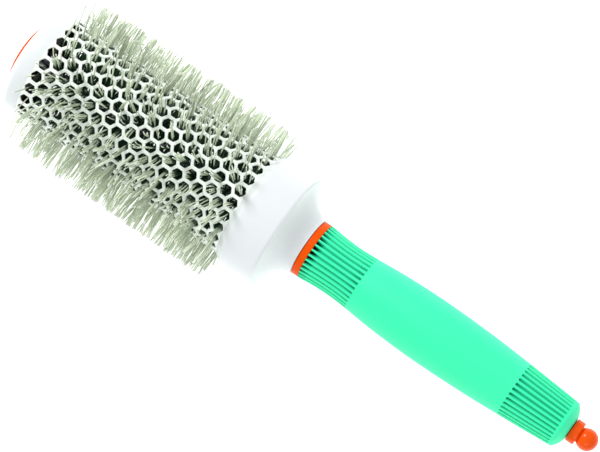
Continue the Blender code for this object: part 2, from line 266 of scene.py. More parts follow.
def link(material, output, shader, socket):
    material.node_tree.links.new(output, shader.inputs[socket])


def grain(material, size, detail=2.0):
    """Noise whose lumps are about size millimetres across, in the object's own space."""
    place = add_node(material, "ShaderNodeTexCoord")
    return add_node(
        material,
        "ShaderNodeTexNoise",
        {"Vector": place.outputs["Object"], "Scale": 1 / (size * MM), "Detail": detail},
    )


def surface(material, shader, noise, smooth, dull, height=0.0, strength=1.0):
    """Takes the roughness from smooth to dull with the noise, whose lumps also stand up by a
    height in millimetres."""
    roughness = add_node(
        material,
        "ShaderNodeMapRange",
        {"Value": noise.outputs["Fac"], **NOISE_RANGE, "To Min": smooth, "To Max": dull},
    )
    link(material, roughness.outputs["Result"], shader, "Roughness")
    if height:
        bump = add_node(
            material,
            "ShaderNodeBump",
            {"Height": noise.outputs["Fac"], "Distance": height * MM, "Strength": strength},
        )
        link(material, bump.outputs["Normal"], shader, "Normal")


def faded(material, noise, colour, share):
    """The colour, and up to share darker where the noise is low."""
    even = add_node(
        material,
        "ShaderNodeMapRange",
        {"Value": noise.outputs["Fac"], **NOISE_RANGE, "To Min": 0, "To Max": 1},
    )
    darker = [channel * (1 - share) for channel in colour]
    mix = add_node(
        material,
        "ShaderNodeMix",
        {FACTOR: even.outputs["Result"], FIRST_COLOUR: (*darker, 1), SECOND_COLOUR: (*colour, 1)},
        data_type="RGBA",
    )
    return mix.outputs[MIXED_COLOUR]


def sprayed_ceramic(colours):
    """A sprayed and baked ceramic coat: satin, with the faint orange peel of a sprayed film."""
    # The coat's faint green tint is a painted reflection of the bristles.
    material, shader = new_material("sprayed_ceramic", colours.ceramic, IOR=1.7)
    peel = grain(material, 0.9)
    surface(material, shader, peel, 0.26, 0.38, 0.015)
    link(material, faded(material, peel, colours.ceramic, 0.03), shader, "Base Color")
    return material


def painted_shade_tube_wall(colours):
    """The tube's inner wall, painted the dark green of the shade inside the barrel: a painted shade
    that keeps the vents deep and dark.
    """
    material, shader = new_material("painted_shade_tube_wall", colours.roots, Metallic=0.2)
    surface(material, shader, grain(material, 2.0), 0.55, 0.75)
    return material


def moulded_abs(name, colour, roughness, gloss):
    """Injection-moulded ABS: a soft gloss with the slight waviness of a polished mould."""
    material, shader = new_material(name, colour, IOR=1.54, Specular_IOR_Level=gloss)
    wave = grain(material, 9.0, 0.0)
    surface(material, shader, wave, roughness - 0.03, roughness + 0.03, 0.02, 0.2)
    link(material, faded(material, wave, colour, 0.008), shader, "Base Color")
    return material


# The painted shade in the grooves and in the pits by the ring. Each is the depth, in millimetres,
# where a groove starts to darken, the depth where it is as dark as it gets, and its share of the
# dark colour there.
GROOVE_SHADE = (0.05, 1.0, 0.85)
PIT_SHADE = (1.3, 1.9, 0.97)


def soft_touch_rubber(colours):
    """Overmoulded soft-touch rubber: matt, with a fine spark-eroded grain. The real grain is
    about 0.05 mm, and is drawn at 0.35 mm so that it shows. The grooves are painted darker the
    deeper they are, and the pits by the ring nearly black: painted shade in the recesses."""
    material, shader = new_material(
        "soft_touch_rubber", colours.teal, IOR=1.5, Specular_IOR_Level=0.4
    )
    surface(material, shader, grain(material, 0.35, 3.0), 0.50, 0.66, 0.03)
    colour = faded(material, grain(material, 14.0, 1.0), colours.teal, 0.03)
    depth = add_node(material, "ShaderNodeAttribute", attribute_name=DEPTH_LAYER).outputs["Fac"]
    # Painted shade: the rubber darkens with the depth of its grooves and pits.
    shades = ((GROOVE_SHADE, colours.groove), (PIT_SHADE, colours.painted_pit_shade))
    for (start, full, most), painted_shade_colour in shades:
        share = add_node(
            material,
            "ShaderNodeMapRange",
            {"Value": depth, "From Min": start, "From Max": full, "To Min": 0, "To Max": most},
        )
        colour = add_node(
            material,
            "ShaderNodeMix",
            {FACTOR: share.outputs["Result"], FIRST_COLOUR: colour, SECOND_COLOUR: (*painted_shade_colour, 1)},
            data_type="RGBA",
        ).outputs[MIXED_COLOUR]
    link(material, colour, shader, "Base Color")
    return material


def dark_moulding_and_painted_shade(colours):
    """Glass-filled nylon, moulded dark: a dull, slightly mottled skin. Lining the cap's hollow, it
    is a painted shade.
    """
    material, shader = new_material(
        "glass_filled_nylon_and_painted_shade", colours.inner, IOR=1.53, Specular_IOR_Level=0.3
    )
    surface(material, shader, grain(material, 0.8, 3.0), 0.45, 0.65, 0.02)
    return material


DIE_LINE_LENGTH, DIE_LINE_WIDTH = 5.0, 1 / 6


def drawn_steel(colours):
    """Drawn steel wire: bright metal with fine lines left by the die. The real lines are about
    0.02 mm across, and are drawn at a sixth of a millimetre so that they show."""
    material, shader = new_material("drawn_steel", colours.steel, Metallic=1.0)
    place = add_node(material, "ShaderNodeTexCoord")
    per_line = 1 / (DIE_LINE_WIDTH * MM)
    lines = add_node(
        material,
        "ShaderNodeMapping",
        {
            "Vector": place.outputs["Object"],
            "Scale": (1 / (DIE_LINE_LENGTH * MM), per_line, per_line),
        },
    )
    marks = add_node(
        material, "ShaderNodeTexNoise", {"Vector": lines.outputs["Vector"], "Scale": 1.0}
    )
    surface(material, shader, marks, 0.22, 0.4)
    return material


def silicone(colours):
    """Moulded silicone: dull and slightly dusty."""
    material, shader = new_material("moulded_silicone", colours.silicone, IOR=1.43)
    surface(material, shader, grain(material, 0.5, 3.0), 0.55, 0.75)
    return material


NYLON_LEVELS = (0.78, 0.9, 1.03, 1.17, 1.32)  # the shades, as parts of the nylon's colour
# Painted shade: a filament takes this share of the dark shade colour where it passes through its
# vent.
ROOT_SHARE = 0.7  # how much of the roots' colour a filament has at its vent


def nylon_shades(colours):
    """Extruded nylon filaments. Each is one even colour, but the lot varies, so filaments are
    shared out among a few shades. Their roots in the barrel and their stretch through the vent
    are painted dark, a painted shade for the shade inside the barrel. Their ends are pale, partly
    from the frosting left by the trimming blade and partly painted light on the ends."""
    shades = []
    for i, level in enumerate(NYLON_LEVELS):
        colour = [min(channel * level, 1) for channel in colours.nylon]
        shades.append(
            new_material(f"nylon_filament_{i + 1}", colour, Roughness=0.4, IOR=1.53)[0]
        )
    painted_root_shade = new_material("nylon_roots_painted_shade", colours.roots, Roughness=0.6, IOR=1.53)[0]
    between = [
        ROOT_SHARE * root + (1 - ROOT_SHARE) * clear
        for root, clear in zip(colours.roots, colours.nylon)
    ]
    shaded = new_material("nylon_at_vents_painted_shade", between, Roughness=0.5, IOR=1.53)[0]
    frost_and_painted_light = new_material("nylon_tips", colours.tips, Roughness=0.6, IOR=1.53)[0]
    return shades, shaded, painted_root_shade, frost_and_painted_light


# Shapes


CORNER_STEPS = 4
CORNER_LIMIT = 0.45  # the most of a side that easing a corner takes up


def eased(outline, closed):
    """The outline as (station, radius) points, with each third number spent on easing its
    corner by that many millimetres."""
    points = []
    count = len(outline)
    for i, (x, r, *easing) in enumerate(outline):
        inner = closed or 0 < i < count - 1
        if not easing or not inner:
            points.append((x, r))
            continue
        corner = Vector((x, r))
        before = Vector(outline[i - 1][:2]) - corner
        after = Vector(outline[(i + 1) % count][:2]) - corner
        start = corner + before.normalized() * min(easing[0], before.length * CORNER_LIMIT)
        end = corner + after.normalized() * min(easing[0], after.length * CORNER_LIMIT)
        for step in range(CORNER_STEPS + 1):
            t = step / CORNER_STEPS
            point = (1 - t) ** 2 * start + 2 * t * (1 - t) * corner + t * t * end
            points.append(tuple(point))
    return points


def ring_point(station, radius, angle):
    """A point at an angle about the axis, from straight up towards +Y."""
    return Vector(
        (ZERO_X + station * MM, radius * math.sin(angle) * MM, radius * math.cos(angle) * MM)
    )


def finish_mesh(bm, name, materials, sharp=38):
    """Turns the mesh into an object. Edges that turn by more than sharp degrees stay crisp."""
    bmesh.ops.recalc_face_normals(bm, faces=bm.faces)
    mesh = bpy.data.meshes.new(name)
    bm.to_mesh(mesh)
    bm.free()
    for material in materials:
        mesh.materials.append(material)
    mesh.shade_smooth()
    mesh.set_sharp_from_angle(angle=math.radians(sharp))
    obj = bpy.data.objects.new(name, mesh)
    bpy.context.scene.collection.objects.link(obj)
    return obj


def skin_rings(bm, rings, closed):
    """Joins rings of vertices, one to the next, with faces. A ring of one is a pole."""
    pairs = list(zip(rings, rings[1:]))
    if closed:
        pairs.append((rings[-1], rings[0]))
    for first, second in pairs:
        count = max(len(first), len(second))
        for i in range(count):
            j = (i + 1) % count
            corners = [
                first[i % len(first)],
                first[j % len(first)],
                second[j % len(second)],
                second[i % len(second)],
            ]
            bm.faces.new(list(dict.fromkeys(corners)))


def turned(name, outline, material, segments=128):
    """A turned piece. The outline closes into a ring unless it starts on the axis."""
    closed = outline[0][1] > 0
    bm = bmesh.new()
    rings = []
    for station, radius in eased(outline, closed):
        if radius < 1e-6:
            rings.append([bm.verts.new(ring_point(station, 0, 0))])
            continue
        angles = (FULL_TURN * i / segments for i in range(segments))
        rings.append([bm.verts.new(ring_point(station, radius, a)) for a in angles])
    skin_rings(bm, rings, closed)
    return finish_mesh(bm, name, [material])


def arc(centre, radii, start, end, count):
    """(station, radius) points on an ellipse from one angle to another, in degrees. 0 points
    away from the axis and 90 towards the knob."""
    points = []
    for i in range(count + 1):
        angle = math.radians(start + (end - start) * i / count)
        station = centre[0] + radii[0] * math.sin(angle)
        points.append((station, centre[1] + radii[1] * math.cos(angle)))
    return points


def place(obj, body, slot, node):
    """Puts a piece on its body, in the place of a CAD node."""
    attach(obj, body)
    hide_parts(node)


def dress(node, material):
    """Gives a CAD node that stays in view its finish."""
    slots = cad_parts[node].data.materials
    slots.clear()
    slots.append(material)


# Cap

DOME_RISE = 1.9
DOME_STEPS = 24
BUTTON_RADIUS = radius_of("cap_button")
BUTTON_EDGE = 2.0
BUTTON_BACK = BUTTON_TIP + DOME_RISE + BUTTON_EDGE
SEAT_START = BUTTON_BACK + FIT_GAP
SEAT_RADIUS = BUTTON_RADIUS + FIT_GAP
SEAT_BORE = 8.5
DECK = 4.0  # thickness of the cap behind the button
CAP_WALL = 1.6
CAP_FACE = 4.2
CAP_LIP, LIP_ANGLE = 0.3, -86  # the face's rounded lip round the button, mm and degrees
CAP_SHOULDER = 8.8  # where the shoulder has come to the cap's full radius
SHOULDER_STEPS = 28
CAP_LAP = 0.2
RIM_TAPER = 2.0
RIM_STEP = 0.04  # the thickness of the rim's edge
SKIN = 0.05  # how near a face counts as on a surface


def cap_dome(colours):
    sphere = (BUTTON_RADIUS**2 + DOME_RISE**2) / (2 * DOME_RISE)
    edge = math.degrees(math.asin(BUTTON_RADIUS / sphere))
    dome = arc((BUTTON_TIP + sphere, 0), (sphere, sphere), -90, edge - 90, DOME_STEPS)
    dome[0] = (BUTTON_TIP, 0)
    outline = [*dome, (BUTTON_BACK, BUTTON_RADIUS, 0.2), (BUTTON_BACK, 0)]
    material = moulded_abs("orange_abs_dome", colours.orange, 0.4, 0.06)
    place(turned("cap_dome", outline, material), "brush", "orange_plastic", "cap_button")


def cap_shell(colours):
    """The cap's rim laps a little over the tube, so that no gap shows between them. Its hollow
    is painted dark, a painted shade, so that it doesn't shine through the first vents."""
    rim = BARREL_START + CAP_LAP
    inside = CAP_RADIUS - CAP_WALL
    shoulder = arc(
        (CAP_SHOULDER, SEAT_RADIUS),
        (CAP_SHOULDER - CAP_FACE, CAP_RADIUS - SEAT_RADIUS),
        LIP_ANGLE,
        0,
        SHOULDER_STEPS,
    )
    outline = [
        (SEAT_START, SEAT_BORE),
        (SEAT_START, SEAT_RADIUS),
        (CAP_FACE + CAP_LIP, SEAT_RADIUS, 0.25),
        *shoulder,
        (rim - RIM_TAPER, CAP_RADIUS, 1.0),
        (rim, BARREL_RADIUS + RIM_STEP),
        (rim, BARREL_RADIUS),
        (rim - 2 * CAP_LAP, BARREL_RADIUS),
        (rim - 2 * CAP_LAP, inside),
        (SEAT_START + DECK, inside),
        (SEAT_START + DECK, SEAT_BORE),
    ]
    material = moulded_abs("white_abs", colours.white, 0.35, 0.25)
    obj = turned("cap_shell", outline, material, 160)
    # Painted shade: the hollow behind the seat takes the dark moulding's colour, though the cap is
    # white inside.
    obj.data.materials.append(dark_moulding_and_painted_shade(colours))
    for face in obj.data.polygons:
        behind_seat = station_of(face.center.x) > SEAT_START
        within = math.hypot(face.center.y, face.center.z) < (inside + SKIN) * MM
        if behind_seat and within and face.normal.x > -0.01:
            face.material_index = 1
    place(obj, "brush", "white_plastic", "end_cap")


# Barrel


def vent_offset(column):
    """Every second ring of vents is turned by half a pitch."""
    return 0 if column % 2 else 0.5


class VentCell:
    """One vent with its share of the tube: points round the vent, from the cell's edge in."""

    SIDES = 6
    STEPS = 4
    ROUND_SIZE = 1.05  # radius of the circle as large as a hexagon, for an inradius of 1

    def __init__(self, barrel):
        self.half_width = FULL_TURN * BARREL_RADIUS / barrel.around / 2
        self.peak = (self.half_width**2 + barrel.pitch**2) / (2 * barrel.pitch)
        self.shoulder = barrel.pitch - self.peak
        self.barrel = barrel

    def edge(self, top, bottom):
        """The cell's outline, as (across, along). Where top or bottom is given, it is an end of
        the tube, which the cell is drawn out to."""
        high = (self.peak, self.shoulder) if top is None else (top, top)
        low = (-self.peak, -self.shoulder) if bottom is None else (bottom, bottom)
        corners = [
            (0, high[0]),
            (self.half_width, high[1]),
            (self.half_width, low[1]),
            (0, low[0]),
            (-self.half_width, low[1]),
            (-self.half_width, high[1]),
        ]
        points = []
        for i, start in enumerate(corners):
            end = corners[(i + 1) % self.SIDES]
            for step in range(self.STEPS):
                t = step / self.STEPS
                across = start[0] + (end[0] - start[0]) * t
                along = start[1] + (end[1] - start[1]) * t
                points.append((across, along))
        return points

    def vent(self, grow):
        """The vent's outline, grown by that many millimetres."""
        inradius = self.barrel.flats / 2 + grow
        points = []
        count = self.SIDES * self.STEPS
        for i in range(count):
            side, step = divmod(i, self.STEPS)
            start = math.radians(60 * side)
            end = start + math.radians(60)
            t = step / self.STEPS
            corner = inradius / math.cos(math.radians(30))
            across = corner * (math.sin(start) * (1 - t) + math.sin(end) * t)
            along = corner * (math.cos(start) * (1 - t) + math.cos(end) * t)
            reach = math.hypot(across, along)
            round_off = 1 + self.barrel.corner * (inradius * self.ROUND_SIZE / reach - 1)
            points.append((across * round_off, along * round_off))
        return points


WELD = 0.002  # points nearer than this become one, mm


def vented_barrel(settings):
    """Lays a cell for each vent, welds the cells into a sleeve, and closes the sleeve's ends."""
    barrel = settings.barrel
    cell = VentCell(barrel)
    inner_radius = BARREL_RADIUS - barrel.wall
    bm = bmesh.new()
    for column in range(1, barrel.columns + 1):
        station = barrel.first_vent + (column - 1) * barrel.pitch
        bottom = BARREL_START - station if column == 1 else None
        top = BARREL_END - station if column == barrel.columns else None
        edge = cell.edge(top, bottom)
        # From the cell's edge outside, over the rolled lip and down the vent, to the edge inside.
        loops = [
            (edge, BARREL_RADIUS),
            (cell.vent(2 * barrel.lip), BARREL_RADIUS),
            (cell.vent(0.6 * barrel.lip), BARREL_RADIUS - 0.3 * barrel.lip),
            (cell.vent(0), BARREL_RADIUS - barrel.lip),
            (cell.vent(0), inner_radius),
            (edge, inner_radius),
        ]
        for k in range(barrel.around):
            turn = FULL_TURN * (k + vent_offset(column)) / barrel.around
            rings = [
                [
                    bm.verts.new(ring_point(station + along, radius, turn + across / BARREL_RADIUS))
                    for across, along in points
                ]
                for points, radius in loops
            ]
            skin_rings(bm, rings, False)
            bm.faces.ensure_lookup_table()
            # The cell's inside faces take the tube wall's painted shade.
            for face in bm.faces[-len(edge) :]:
                face.material_index = 1
    bmesh.ops.remove_doubles(bm, verts=bm.verts, dist=WELD * MM)
    rims = [edge for edge in bm.edges if edge.is_boundary]
    for end in (BARREL_START, BARREL_END):
        x = ZERO_X + end * MM
        loop = [edge for edge in rims if all(abs(v.co.x - x) < SKIN * MM for v in edge.verts)]
        bmesh.ops.bridge_loops(bm, edges=loop)
    materials = [sprayed_ceramic(settings.colours), painted_shade_tube_wall(settings.colours)]
    obj = finish_mesh(bm, "vented_barrel", materials, 50)
    place(obj, "brush", "ceramic_white", "barrel")


# Bristles

ROOT_RADIUS = 2.4
FILAMENT_SIDES = 5
# The filament's painted shade: darkest deep in the barrel, lighter at the vent.
SHADE_DEPTHS = (3.6, 0.6)  # where a filament gets lighter, below the tube's surface
PATH_SHARES = (0.3, 0.6, 0.93, 1.0)  # its points outside the tube
TIP_WIDTH = 0.85
LONGEST_OVER = 0.55  # the CAD tufts are cut a little short of the longest filaments
RIM_FILAMENTS = 1  # the most in a vent beside the cap, where the growth is thin
CLUMPED_VENTS = 0.2
CLUMP_PITCH = 0.95  # in thicknesses
CLUMP_SCATTER = 0.12
CLUMP_REACH = (1, 1.3)
VENT_MARGIN = 0.2
STRAY_VENTS = 0.08
STRAY_LEANS = (3, 2)  # in usual leans
OWN_LEAN, OWN_LEAN_IN_CLUMP = 0.6, 0.3
BEND = 0.4
VENT_TRIM, OWN_TRIM = 0.55, 0.3
LEANING_TRIM = 1.5  # how much shorter a filament is cut when it leans by 45 degrees, mm
SHADE_WEIGHTS = (2, 4, 4, 3)
OWN_SHADE = 0.5


def filament_path(settings, column_station, turn, place_in_vent, leans, bend, tip):
    """Points from the stem, straight through the vent and on to the tip with a slight bend."""
    across, along = place_in_vent
    angle = turn + across / BARREL_RADIUS
    start = ring_point(column_station + along, BARREL_RADIUS, angle)
    outward = Vector((0, math.sin(angle), math.cos(angle)))
    round_tube = Vector((0, math.cos(angle), -math.sin(angle)))
    course = Vector((1, 0, 0)) * math.tan(leans[0]) + round_tube * math.tan(leans[1]) + outward
    root = BARREL_RADIUS - ROOT_RADIUS
    points = [start - course * depth * MM for depth in (root, *SHADE_DEPTHS)]
    reach = tip - BARREL_RADIUS
    for share in PATH_SHARES:
        sideways = (bend[0] * Vector((1, 0, 0)) + bend[1] * round_tube) * share * share
        points.append(start + (course * reach * share + sideways) * MM)
    return points


def add_filament(bm, centres, thickness, shade, shade_count):
    """A round filament along the path, slightly thinner at its tip. Its materials after the plain
    shades are those at the vent, in the barrel and at the tip: the painted shade at the vent and
    in the barrel, and the pale tip, which is partly frosting and partly painted light. Its outer
    stretch takes the next paler shade, a painted light."""
    shaded, painted_root_shade, frost_and_painted_light = shade_count, shade_count + 1, shade_count + 2
    last = len(centres) - 2
    # Painted light: the outer stretch takes the next paler shade, and the tip the pale tip colour,
    # which is partly real frosting.
    dressed = {0: painted_root_shade, 1: shaded, last - 1: shade + 1, last: frost_and_painted_light}
    rings = []
    for i, centre in enumerate(centres):
        ahead = centres[min(i + 1, len(centres) - 1)] - centres[max(i - 1, 0)]
        side = ahead.orthogonal().normalized()
        up = ahead.normalized().cross(side)
        width = thickness / 2 * MM * (TIP_WIDTH if i == len(centres) - 1 else 1)
        ring = []
        for k in range(FILAMENT_SIDES):
            a = FULL_TURN * k / FILAMENT_SIDES
            ring.append(bm.verts.new(centre + (side * math.cos(a) + up * math.sin(a)) * width))
        rings.append(ring)
    for i in range(len(rings) - 1):
        first, second = rings[i], rings[i + 1]
        shift = nearest_shift(first, second)
        rings[i + 1] = second = second[shift:] + second[:shift]
        for k in range(FILAMENT_SIDES):
            j = (k + 1) % FILAMENT_SIDES
            face = bm.faces.new((first[k], first[j], second[j], second[k]))
            face.material_index = dressed.get(i, shade)
    bm.faces.new(rings[0]).material_index = painted_root_shade
    bm.faces.new(rings[-1]).material_index = frost_and_painted_light


def nearest_shift(first, second):
    """How far to turn the second ring so that it isn't twisted against the first."""
    offset = sum((v.co for v in second), Vector()) - sum((v.co for v in first), Vector())
    offset /= len(first)
    start = first[0].co + offset
    return min(range(len(second)), key=lambda k: (second[k].co - start).length_squared)


def places_in_vent(rng, barrel, thickness, count, clumped):
    """Places for filaments in one vent, as (across, along) in millimetres. In a clump they
    stand side by side in a row, and otherwise anywhere."""
    reach = barrel.flats / 2 - thickness / 2 - VENT_MARGIN
    heading = rng.uniform(0, math.pi)
    centre = [rng.uniform(-side, side) for side in CLUMP_REACH]
    places = []
    for i in range(count):
        if clumped:
            step = (i - (count - 1) / 2) * thickness * CLUMP_PITCH
            x = centre[0] + step * math.cos(heading) + rng.gauss(0, CLUMP_SCATTER)
            y = centre[1] + step * math.sin(heading) + rng.gauss(0, CLUMP_SCATTER)
        else:
            angle = rng.uniform(0, FULL_TURN)
            distance = reach * math.sqrt(rng.random())
            x, y = distance * math.cos(angle), distance * math.sin(angle)
        over = math.hypot(x, y) / reach
        if over > 1:
            x, y = x / over, y / over
        places.append((x, y))
    return places


def grow_vent(bm, rng, settings, column, turn, shade_count):
    """All the filaments that come out of one vent. They share a lean and nearly a length."""
    barrel, bristles = settings.barrel, settings.bristles
    station = barrel.first_vent + (column - 1) * barrel.pitch
    count = round(rng.triangular(0, 2 * bristles.per_vent, bristles.per_vent))
    if column == 1:
        count = min(count, RIM_FILAMENTS)
    clumped = rng.random() < CLUMPED_VENTS
    lean = (rng.gauss(0, bristles.lean), rng.gauss(0, bristles.lean))
    if rng.random() < STRAY_VENTS:
        lean = [rng.gauss(0, times * bristles.lean) for times in STRAY_LEANS]
    own_lean = bristles.lean * (OWN_LEAN_IN_CLUMP if clumped else OWN_LEAN)
    longest = BRISTLE_RADIUS + LONGEST_OVER
    length = longest - bristles.trim * abs(rng.gauss(0, VENT_TRIM))
    bend = (rng.gauss(0, BEND), rng.gauss(0, BEND))
    shade = rng.choices(range(shade_count - 1), SHADE_WEIGHTS)[0]
    for place_in_vent in places_in_vent(rng, barrel, bristles.thickness, count, clumped):
        leans = (lean[0] + rng.gauss(0, own_lean), lean[1] + rng.gauss(0, own_lean))
        steepness = math.hypot(math.tan(leans[0]), math.tan(leans[1]))
        tip = length - bristles.trim * abs(rng.gauss(0, OWN_TRIM)) - LEANING_TRIM * steepness
        path = filament_path(settings, station, turn, place_in_vent, leans, bend, tip)
        if rng.random() < OWN_SHADE:
            shade = rng.randrange(shade_count - 1)
        add_filament(bm, path, bristles.thickness, shade, shade_count)


def filament_group(settings, shades, number, columns, rng):
    """The filaments that come out of two neighbouring rings of vents."""
    barrel = settings.barrel
    pale, shaded, painted_root_shade, frost_and_painted_light = shades
    bm = bmesh.new()
    for column in columns:
        for k in range(barrel.around):
            turn = FULL_TURN * (k + vent_offset(column)) / barrel.around
            grow_vent(bm, rng, settings, column, turn, len(pale))
    obj = finish_mesh(bm, f"filaments_{number:02d}", [*pale, shaded, painted_root_shade, frost_and_painted_light], 80)
    place(obj, "brush", "bristle_nylon", f"bristles_{number:02d}")


# Neck, ring and handle

COLLAR_START, COLLAR_FULL, COLLAR_END = 112.5, 115.0, 129.9
COLLAR_EDGE = 0.3
SOCKET_START, SOCKET_END, SOCKET_RADIUS = 122.0, 128.0, 20.5
NECK_START, NECK_START_RADIUS = 130.7, 24.5
NECK_END, NECK_END_RADIUS = span("accent_ring")[0] - 0.05, 12.5
NECK_BORE = 8.8
NECK_POWER = 1.6  # 1 is a straight cone and 2 is a quarter of an ellipse
NECK_STEPS = 32


def collar_and_neck(colours):
    rise = NECK_START_RADIUS - NECK_END_RADIUS
    run = NECK_END - NECK_START
    sweep = []
    for i in range(NECK_STEPS + 1):
        u = math.sin(math.pi / 2 * (NECK_STEPS - i) / NECK_STEPS)
        v = (1 - u**NECK_POWER) ** (1 / NECK_POWER)
        sweep.append((NECK_END - u * run, NECK_START_RADIUS - v * rise))
    bore = BARREL_RADIUS + FIT_GAP
    outline = [
        (COLLAR_START, bore),
        (COLLAR_START, bore + COLLAR_EDGE, 0.12),
        (COLLAR_FULL, COLLAR_RADIUS, 0.8),
        (COLLAR_END, COLLAR_RADIUS, 0.6),
        *sweep[1:],
        (NECK_END, NECK_BORE),
        (SOCKET_END, NECK_BORE),
        (SOCKET_END, SOCKET_RADIUS),
        (SOCKET_START, SOCKET_RADIUS),
        (SOCKET_START, bore),
    ]
    material = moulded_abs("white_abs_neck", colours.white, 0.35, 0.25)
    obj = turned("collar_and_neck", outline, material, 192)
    place(obj, "brush", "white_plastic", "neck_collar")


def trim_ring(colours):
    start, end = NECK_END + 0.02, span("accent_ring")[1]
    radius = radius_of("accent_ring")
    bore = CORE_RADIUS + FIT_GAP
    outline = [(start, bore), (start, radius, 0.9), (end, radius, 0.3), (end, bore)]
    material = moulded_abs("orange_abs_ring", colours.orange, 0.4, 0.06)
    obj = turned("trim_ring", outline, material, 160)
    place(obj, "brush", "orange_plastic", "accent_ring")


GRIP_OUTLINE = (
    (GRIP_START, 12.08),
    (150.5, 11.5),
    (157.6, 11.2),
    (164.0, 11.42),
    (171.1, 12.05),
    (181.0, 12.75),
    (197.9, 13.25),
    (219.9, 12.85),
    (239.0, 11.8),
    (262.7, 10.1),
)
GRIP_SHOULDER = GRIP_OUTLINE[-1][0]
PICK_BORE = 4.3
GRIP_FLOOR = 262.3  # where the rubber closes over the end of the core
GRIP_BUTT = (
    (GRIP_SHOULDER, 10.1),
    (263.5, 10.1, 0.8),
    (265.5, 7.6, 1.5),
    (GRIP_END, 4.9, 0.8),
    (GRIP_END, PICK_BORE),
)
PIT_LENGTH = 4.0
PIT_SHARE = 0.74  # share of the pitch that a pit takes up at the ring
GROOVE_ROUND = 0.5  # length of the rounding at a groove's end
END_SHARE = 0.3  # a groove never narrows to less than this part of its width
SHORE_LENGTH = 5.0  # near the smooth middle, grooves are deeper over this length
SHORE_DEPTH = 0.35  # and by up to this share
RING_GAP = 0.25  # the grip's front edge stands this far forward, to meet the ring


def grip_radius(station):
    """The grip's radius, on a smooth curve through its outline."""
    points = GRIP_OUTLINE
    slopes = []
    for i in range(len(points)):
        before, after = points[max(i - 1, 0)], points[min(i + 1, len(points) - 1)]
        slopes.append((after[1] - before[1]) / (after[0] - before[0]))
    i = 0
    while i < len(points) - 2 and station > points[i + 1][0]:
        i += 1
    (x0, r0), (x1, r1) = points[i], points[i + 1]
    t = (station - x0) / (x1 - x0)
    rise = t * t * (3 - 2 * t)
    leave = (t - 2 * t * t + t**3) * slopes[i] * (x1 - x0)
    arrive = (t**3 - t * t) * slopes[i + 1] * (x1 - x0)
    return r0 + rise * (r1 - r0) + leave + arrive


def ease(t):
    """0 up to 0 and 1 from 1 on, with a smooth rise between."""
    t = min(max(t, 0), 1)
    return t * t * (3 - 2 * t)


def groove_at(grip, station):
    """(share of the pitch, depth) of the grooves at a station. They deepen towards the smooth
    middle of the grip, and at the ring they open into pits."""
    if station <= grip.front_end:
        to_end = to_middle = grip.front_end - station
        open_end = 1 - min((station - GRIP_START) / PIT_LENGTH, 1)
    elif grip.tail_start <= station <= grip.tail_end:
        to_middle = station - grip.tail_start
        to_end = min(to_middle, grip.tail_end - station)
        open_end = 0
    else:
        return grip.share * END_SHARE, 0
    rounding = 1.0
    if to_end < GROOVE_ROUND:
        rounding = math.sqrt(max(1 - (1 - to_end / GROOVE_ROUND) ** 2, 0))
    share = grip.share + (PIT_SHARE - grip.share) * open_end
    depth = grip.depth * (1 + SHORE_DEPTH * (1 - ease(to_middle / SHORE_LENGTH)))
    depth += (grip.pit_depth - depth) * ease(open_end)
    return share * max(rounding, END_SHARE), depth * rounding


def stations_between(start, end, step):
    """Even stations from start up to, and without, end."""
    count = max(1, round((end - start) / step))
    return [start + (end - start) * i / count for i in range(count)]


def grip_stations(grip):
    """Where the grip has rings of points: closer where grooves begin and end."""
    close = [GROOVE_ROUND * (1 - math.cos(math.pi / 2 * i / 5)) for i in range(6)]
    front = grip.front_end
    found = [
        *stations_between(GRIP_START, GRIP_START + PIT_LENGTH, 0.4),
        *stations_between(GRIP_START + PIT_LENGTH, front - GROOVE_ROUND, 1.5),
        *(front - x for x in reversed(close)),
        *stations_between(front + 0.3, grip.tail_start - 0.3, 2),
        *(grip.tail_start + x for x in close),
        *stations_between(grip.tail_start + 1.2, grip.tail_end - 1.2, 1.5),
        *(grip.tail_end - x for x in reversed(close)),
        *stations_between(grip.tail_end + 0.3, GRIP_SHOULDER, 0.5),
    ]
    return sorted(found)


GROOVE_SAMPLES = (-1.0, -0.93, -0.8, -0.55, 0.0, 0.55, 0.8, 0.93, 1.0)
GROOVE_POWER = 2.4  # 2 gives a groove a round floor, and more a flatter one
CREST_SAMPLES = (0.25, 0.5, 0.75)
CROWN = 0.05  # how far a crest bulges, mm


def grooved_ring(bm, grip, station, radius, depth_layer):
    """A ring of points whose radius dips in each groove. A crest faces straight up at the
    front and a groove at the tail, and the smooth middle takes up the difference."""
    share, depth = groove_at(grip, station)
    phase = 0.5 * (1 - ease((station - grip.front_end) / (grip.tail_start - grip.front_end)))
    ring = []
    for groove in range(grip.grooves):
        for sample in GROOVE_SAMPLES:
            dip = depth * (1 - abs(sample) ** GROOVE_POWER)
            angle = (groove + phase + sample * share / 2) * FULL_TURN / grip.grooves
            ring.append(bm.verts.new(ring_point(station, radius - dip, angle)))
            ring[-1][depth_layer] = dip
        for sample in CREST_SAMPLES:
            offset = phase + share / 2 + (1 - share) * sample
            angle = (groove + offset) * FULL_TURN / grip.grooves
            crown = CROWN * math.sin(math.pi * sample) * min(depth, 1)
            ring.append(bm.verts.new(ring_point(station, radius + crown, angle)))
    return ring


